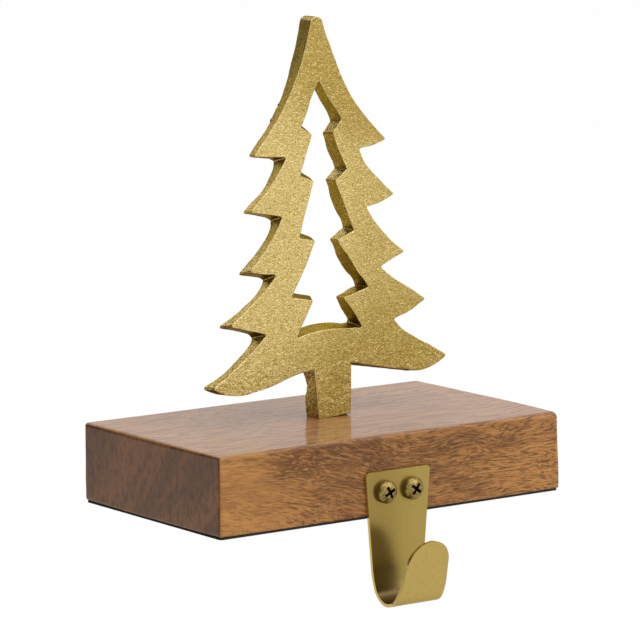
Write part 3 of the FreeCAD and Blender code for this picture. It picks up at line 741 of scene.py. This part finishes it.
def varnishedWood(front):
    finish, tree, shader = newFinish("varnishedWood")
    wood = woodFinish
    place = placeOf(tree)
    x, y, z = axesOf(tree, place)
    swing = centred(tree, cloud(tree, place, wood["swingScale"]), wood["swing"])
    curl = centred(tree, cloud(tree, place, wood["curlScale"], 1.5), wood["curl"])
    wander = maths(tree, "ADD", swing, curl)
    # the fibres' own coordinates: along, and the two ways across
    drift = ramp(tree, x, *wood["drift"])
    down = maths(tree, "ADD", maths(tree, "ADD", z, wander), drift)
    fibres = packed(tree, x, maths(tree, "ADD", y, wander), down)

    # paler bands at the left and the right, and dark patches and streaks broken up by the fibres
    bands = cloud(tree, fibres, wood["bandScale"], 4.0, 0.65)
    bands = maths(tree, "ADD", bands, ramp(tree, x, *wood["bandLeft"]))
    bands = maths(tree, "ADD", bands, ramp(tree, x, *wood["bandRight"]))
    body = mixColour(tree, ramp(tree, bands, *wood["bandRange"]), wood["tan"], wood["brown"])
    dark = ramp(tree, cloud(tree, fibres, wood["patchScale"], 4.0, 0.65), *wood["patchRange"])
    nearFront = ramp(tree, y, front + wood["streakDepth"], front)
    for *streak, darkness in wood["streaks"]:
        mask = maths(tree, "MULTIPLY", streakMask(tree, x, z, streak, wander), nearFront)
        dark = maths(tree, "MAXIMUM", dark, maths(tree, "MULTIPLY", mask, darkness))
    fibre = cloud(tree, fibres, wood["fibreScale"], 3.0, 0.75)
    dark = maths(tree, "MULTIPLY", dark, ramp(tree, fibre, *wood["fibreBreaks"]))
    body = mixColour(tree, dark, body, wood["plum"])
    body = mixColour(tree, ramp(tree, fibre, *wood["fibrePale"]), body, wood["tan"])

    # fine dark fibres, long thin lines and short pores
    deep = ramp(tree, x, *wood["deepX"])
    body = mixColour(tree, ramp(tree, fibre, *wood["fibreDark"], 0.0, deep), body, wood["plum"])
    sweep = ramp(tree, cloud(tree, fibres, wood["sweepScale"], 2.0, 0.6), *wood["sweepRange"])
    body = mixColour(tree, maths(tree, "MULTIPLY", sweep, deep), body, wood["plum"])
    pores = ramp(tree, cloud(tree, fibres, wood["poreScale"], 2.0), *wood["poreRange"])
    pores = maths(tree, "MULTIPLY", pores, deep)
    body = mixColour(tree, maths(tree, "MULTIPLY", pores, wood["poreShare"]), body, wood["pore"])

    normal = normalOf(tree)
    lines = cloud(tree, fibres, wood["topScale"], 4.0, 0.8)
    topBody = mixColour(tree, ramp(tree, lines, *wood["topRange"]), wood["top"], wood["topDark"])
    body = mixColour(tree, ramp(tree, normal[2], *wood["topUp"]), body, topBody)

    slant = maths(tree, "ADD", y, maths(tree, "MULTIPLY", z, wood["endSlant"]))
    zone = cloud(tree, packed(tree, x, slant, z), wood["zoneScale"], 3.0, 0.6, 0.6)
    endBody = mixColour(tree, ramp(tree, zone, *wood["zoneRange"]), wood["end"], wood["endWarm"])
    mottle = cloud(tree, place, wood["mottleScale"], 4.0, 0.65, 0.3)
    endBody = mixColour(tree, ramp(tree, mottle, *wood["mottleDark"]), endBody, wood["endDark"])
    endBody = mixColour(tree, ramp(tree, mottle, *wood["mottleWarm"]), endBody, wood["endWarm"])
    endMask = ramp(tree, maths(tree, "ABSOLUTE", normal[0]), *wood["endSide"])
    body = mixColour(tree, endMask, body, endBody)

    feed(tree, shader.inputs["Base Color"], body)
    shader.inputs["Roughness"].default_value = wood["roughness"]
    shader.inputs["Specular IOR Level"].default_value = wood["specular"]
    shader.inputs["Coat Weight"].default_value = wood["coat"]
    shader.inputs["Coat Roughness"].default_value = wood["coatRoughness"]
    height = maths(tree, "SUBTRACT", fibre, maths(tree, "MULTIPLY", pores, wood["poreDepth"]))
    feed(tree, shader.inputs["Normal"], bumpOf(tree, height, *wood["bump"]))
    return finish


woodBlock = shapeBlock("woodBlock", *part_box("wood_base"))
paint(woodBlock, varnishedWood(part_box("wood_base")[0].y))
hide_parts("wood_base")
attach(woodBlock, "root")
print("wooden block:", len(woodBlock.data.polygons), "faces")


# foam pad

padFinish = {
    "black": colour(0.018, 0.017, 0.016),
    "worn": colour(0.035, 0.032, 0.03),
    "cells": (1400, 1400, 1400),  # noises per metre
    "roughness": 0.9,
    "specular": 0.2,
    "bump": (0.5, 0.1 * mm),
}


def blackFoam():
    finish, tree, shader = newFinish("blackFoam")
    cells = cloud(tree, placeOf(tree), padFinish["cells"], 3.0)
    feed(tree, shader.inputs["Base Color"],
         mixColour(tree, ramp(tree, cells, 0.4, 0.7), padFinish["black"], padFinish["worn"]))
    shader.inputs["Roughness"].default_value = padFinish["roughness"]
    shader.inputs["Specular IOR Level"].default_value = padFinish["specular"]
    feed(tree, shader.inputs["Normal"], bumpOf(tree, cells, *padFinish["bump"]))
    return finish


paint(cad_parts["base_pad"], blackFoam())


# bent hook

hookForm = {"edge": 0.28 * mm, "segments": 3}
hookFinish = {
    "gold": colour(0.385, 0.275, 0.062),
    # the darker colour serves the brushed lines and the painted shade on the left side
    "dullAndShade": colour(0.30, 0.205, 0.042),
    # painted light: the tongue is coloured lighter than the plate
    "tongue": colour(0.485, 0.35, 0.088),
    # painted shade in the bend
    "bendShade": colour(0.075, 0.043, 0.008),
    # painted highlight on the cut edges of the sheet
    "edge": colour(0.62, 0.46, 0.14),
    "glance": colour(0.70, 0.55, 0.20),   # what a low angle of view reflects
    "metallic": 0.85,
    "roughness": (0.22, 0.28),
    "coat": 0.4,
    "coatRoughness": 0.3,
    "haze": (70, 70, 40),         # noises per metre: soft clouds, and fine lines down the sheet
    "brushed": (1500, 1500, 60),
    "bump": (0.08, 0.03 * mm),
    "leftShade": 0.9,              # painted shade on the left side, how strong it is, and the clouds in it
    "dullHaze": 0.35,
    "dullRange": (0.2, 1.0),
    "lines": (0.4, 0.7, 0.0, 0.22),
    "tongueY": (-52 * mm, -57 * mm),
    # painted shade in the bend: faces that look up, below a height
    "bendShadeUp": (0.1, 0.45),
    "bendShadeZ": (-17 * mm, -22 * mm),
    "bendShadeShare": 0.95,
    # painted highlight on the cut edges, by the normal
    "edgeHighlightSide": (0.3, 0.8),
}


def satinGold():
    finish, tree, shader = newFinish("satinGold")
    hook = hookFinish
    place = placeOf(tree)
    x, y, z = axesOf(tree, place)
    haze = cloud(tree, place, hook["haze"], 3.0)
    brushed = cloud(tree, place, hook["brushed"])
    low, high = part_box("hook")
    # painted shade, darker towards the left, with random clouds
    worn = maths(tree, "ADD", ramp(tree, x, high.x, low.x, 0.0, hook["leftShade"]),
                 maths(tree, "MULTIPLY", haze, hook["dullHaze"]))
    gold = mixColour(tree, ramp(tree, worn, *hook["dullRange"]), hook["gold"], hook["dullAndShade"])
    # the tongue painted lighter, as light
    gold = mixColour(tree, ramp(tree, y, *hook["tongueY"]), gold, hook["tongue"])
    gold = mixColour(tree, ramp(tree, brushed, *hook["lines"]), gold, hook["dullAndShade"])
    normal = normalOf(tree)
    # painted shade in the bend, and a painted highlight on the cut edges of the sheet
    bendShadeMask = maths(tree, "MULTIPLY", ramp(tree, normal[2], *hook["bendShadeUp"]), ramp(tree, z, *hook["bendShadeZ"]))
    gold = mixColour(tree, maths(tree, "MULTIPLY", bendShadeMask, hook["bendShadeShare"]), gold, hook["bendShade"])
    edge = ramp(tree, maths(tree, "ABSOLUTE", normal[0]), *hook["edgeHighlightSide"])
    gold = mixColour(tree, edge, gold, hook["edge"])
    feed(tree, shader.inputs["Base Color"], gold)
    shader.inputs["Metallic"].default_value = hook["metallic"]
    shader.inputs["Specular Tint"].default_value = hook["glance"]
    feed(tree, shader.inputs["Roughness"], ramp(tree, haze, 0.3, 0.7, *hook["roughness"]))
    shader.inputs["Coat Weight"].default_value = hook["coat"]
    shader.inputs["Coat Roughness"].default_value = hook["coatRoughness"]
    feed(tree, shader.inputs["Normal"], bumpOf(tree, brushed, *hook["bump"]))
    return finish


hookStrip = copyOfNode("hook", "hookStrip")
easeEdges(hookStrip, hookForm["edge"], hookForm["segments"])
paint(hookStrip, satinGold())
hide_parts("hook")
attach(hookStrip, "root")
print("hook:", len(hookStrip.data.polygons), "faces")


# round-head screws

screwForm = {
    "edge": 0.14 * mm,
    "segments": 2,
    "recess": 2.4 * mm,           # radius that the cross stays inside
    "skin": 0.25 * mm,            # faces deeper than this below the head's top are the recess
    "head": 2.0 * mm,             # and faces deeper than this are below the head
}
screwFinish = {
    "brass": colour(0.37, 0.265, 0.085),
    # the darker colour serves tarnish specks and the painted shade on the head's sides
    "tarnishAndShade": colour(0.070, 0.044, 0.012),
    # the cross recess is painted dark, as shade
    "recess": colour(0.016, 0.012, 0.008),
    "recessPaleShade": colour(0.034, 0.026, 0.016),
    "zinc": colour(0.55, 0.55, 0.53),
    # also takes the painted shade on the head's sides
    "zincDullAndShade": colour(0.42, 0.42, 0.41),
    "specks": (0.44, 0.64, 0.0, 0.9),
    "round": (0.5, 0.2, 0.0, 0.45),     # painted shade round the head's sides, by how squarely it faces the front
    "bump": (0.35, 0.05 * mm),
}


def specked(name, bright, dark, size, roughness):  # metal with small darker specks, and painted shade on the sides
    finish, tree, shader = newFinish(name)
    specks = cloud(tree, placeOf(tree), (1 / size,) * 3, 2.0, 0.6)
    # painted shade on the head's sides
    side = ramp(tree, maths(tree, "ABSOLUTE", normalOf(tree)[1]), *screwFinish["round"])
    darker = maths(tree, "MAXIMUM", ramp(tree, specks, *screwFinish["specks"]), side)
    feed(tree, shader.inputs["Base Color"], mixColour(tree, darker, bright, dark))
    shader.inputs["Metallic"].default_value = 1.0
    feed(tree, shader.inputs["Roughness"], ramp(tree, specks, 0.35, 0.7, roughness, roughness + 0.2))
    feed(tree, shader.inputs["Normal"], bumpOf(tree, specks, *screwFinish["bump"]))
    return finish


antiqueBrass = specked("antiqueBrass", screwFinish["brass"], screwFinish["tarnishAndShade"], 0.45 * mm, 0.38)
# the cross recess takes painted shade
recessShade = specked("recessShade", screwFinish["recessPaleShade"], screwFinish["recess"], 0.4 * mm, 0.6)
zincPlate = specked("zincPlate", screwFinish["zinc"], screwFinish["zincDullAndShade"], 0.8 * mm, 0.35)
for side in ("left", "right"):
    nodeName = f"hook_screw_{side}"
    low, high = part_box(nodeName)
    axis = (low + high) / 2
    screw = copyOfNode(nodeName, f"{side}HookScrew")
    easeEdges(screw, screwForm["edge"], screwForm["segments"])
    paint(screw, antiqueBrass, recessShade)
    # faces in the cross recess get the painted shade
    for face in screw.data.polygons:
        fromAxis = math.hypot(face.center.x - axis.x, face.center.z - axis.z)
        inHead = screwForm["skin"] < face.center.y - low.y < screwForm["head"]
        face.material_index = int(inHead and fromAxis < screwForm["recess"])
    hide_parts(nodeName)
    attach(screw, "root")
paint(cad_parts["tree_screw"], zincPlate)
print("screws made")


# stage, lamps and camera

stageForm = {
    "floorZ": -0.12,
    "floorHalf": 9.0,
    "floorColour": colour(0.8, 0.8, 0.8),
    "floorShare": 0.022,          # how much of the floor's own light and shadow the camera sees
    "worldLight": 0.72,
    "cardX": -0.6,
    "cardY": (-0.45, 1.3),
    "cardZ": (-0.11, 0.75),
    "cardColour": colour(0.17, 0.14, 0.11),
}
lampAim = Vector((0, 0, 0.07))
lampForm = (
    {"name": "keyLamp", "place": (1.0, -1.5, 1.15), "size": 1.8, "power": 17.0},
    {"name": "topLamp", "place": (-0.2, -0.5, 1.5), "size": 0.8, "power": 5.0},
)
cameraForm = {
    "azimuth": -35.687,
    "elevation": 8.878,
    "roll": -0.312,
    "lens": 243.5,
    "sensor": 36.0,
    "distance": 1.52946,
    "farthest": 100.0,
    "aside": (0.00124, -0.062175),      # the origin's place in the view, to the right and up
}


def seenAsBackground(tree):  # 1 for camera, glossy and transmission rays
    path = tree.nodes.new("ShaderNodeLightPath").outputs
    seen = maths(tree, "MAXIMUM", path["Is Camera Ray"], path["Is Glossy Ray"])
    return maths(tree, "MAXIMUM", seen, path["Is Transmission Ray"])


def flatPanel(name, corners):
    mesh = bpy.data.meshes.new(name)
    mesh.from_pydata(corners, [], [(0, 1, 2, 3)])
    panel = addPiece(name, mesh)
    panel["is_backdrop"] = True
    return panel


def setStage():
    half, floorZ = stageForm["floorHalf"], stageForm["floorZ"]
    floor = flatPanel("floor", [(-half, -half, floorZ), (half, -half, floorZ),
                                (half, half, floorZ), (-half, half, floorZ)])
    finish, tree, shader = newFinish("paleFloor")
    shader.inputs["Base Color"].default_value = stageForm["floorColour"]
    shader.inputs["Roughness"].default_value = 1.0
    shader.inputs["Specular IOR Level"].default_value = 0.0
    white = tree.nodes.new("ShaderNodeEmission")
    share = maths(tree, "MULTIPLY", seenAsBackground(tree), 1 - stageForm["floorShare"])
    mix = tree.nodes.new("ShaderNodeMixShader")
    feed(tree, mix.inputs[0], share)
    tree.links.new(shader.outputs[0], mix.inputs[1])
    tree.links.new(white.outputs[0], mix.inputs[2])
    tree.links.new(mix.outputs[0], tree.nodes["Material Output"].inputs["Surface"])
    paint(floor, finish)

    cardX, (nearY, farY), (lowZ, highZ) = stageForm["cardX"], stageForm["cardY"], stageForm["cardZ"]
    card = flatPanel("shadeCard", [(cardX, nearY, lowZ), (cardX, farY, lowZ),
                                   (cardX, farY, highZ), (cardX, nearY, highZ)])
    finish, tree, shader = newFinish("shadeCard")
    shader.inputs["Base Color"].default_value = stageForm["cardColour"]
    shader.inputs["Roughness"].default_value = 1.0
    paint(card, finish)
    card.visible_camera = False

    world = bpy.data.worlds.new("paleStudio")
    scene.world = world
    world.use_nodes = True
    tree = world.node_tree
    light = stageForm["worldLight"]
    shade = mixColour(tree, seenAsBackground(tree), colour(light, light, light), colour(1, 1, 1))
    feed(tree, tree.nodes["Background"].inputs["Color"], shade)


def setLamps():
    for form in lampForm:
        lamp = bpy.data.lights.new(form["name"], "AREA")
        lamp.size = form["size"]
        lamp.energy = form["power"]
        holder = bpy.data.objects.new(form["name"], lamp)
        scene.collection.objects.link(holder)
        place = Vector(form["place"])
        turn = (lampAim - place).to_track_quat("-Z", "Y").to_matrix()
        holder.matrix_world = Matrix.Translation(place) @ turn.to_4x4()


def setCamera():
    azimuth, elevation, roll = (math.radians(cameraForm[k]) for k in ("azimuth", "elevation", "roll"))
    back = Vector((math.sin(azimuth) * math.cos(elevation),
                   -math.cos(azimuth) * math.cos(elevation), math.sin(elevation)))
    level = Vector((math.cos(azimuth), math.sin(azimuth), 0))
    upright = back.cross(level)
    right = level * math.cos(roll) + upright * math.sin(roll)
    up = upright * math.cos(roll) - level * math.sin(roll)
    aside, raised = cameraForm["aside"]
    place = back * cameraForm["distance"] - right * aside - up * raised
    camera = bpy.data.cameras.new("camera")
    camera.lens = cameraForm["lens"]
    camera.sensor_width = cameraForm["sensor"]
    camera.clip_end = cameraForm["farthest"]
    holder = bpy.data.objects.new("camera", camera)
    scene.collection.objects.link(holder)
    turn = Matrix((right, up, back)).transposed()
    holder.matrix_world = Matrix.Translation(place) @ turn.to_4x4()
    scene.camera = holder


setStage()
setLamps()
setCamera()
scene.view_settings.view_transform = "Standard"
print("stage, lamps and camera set")

low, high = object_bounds()
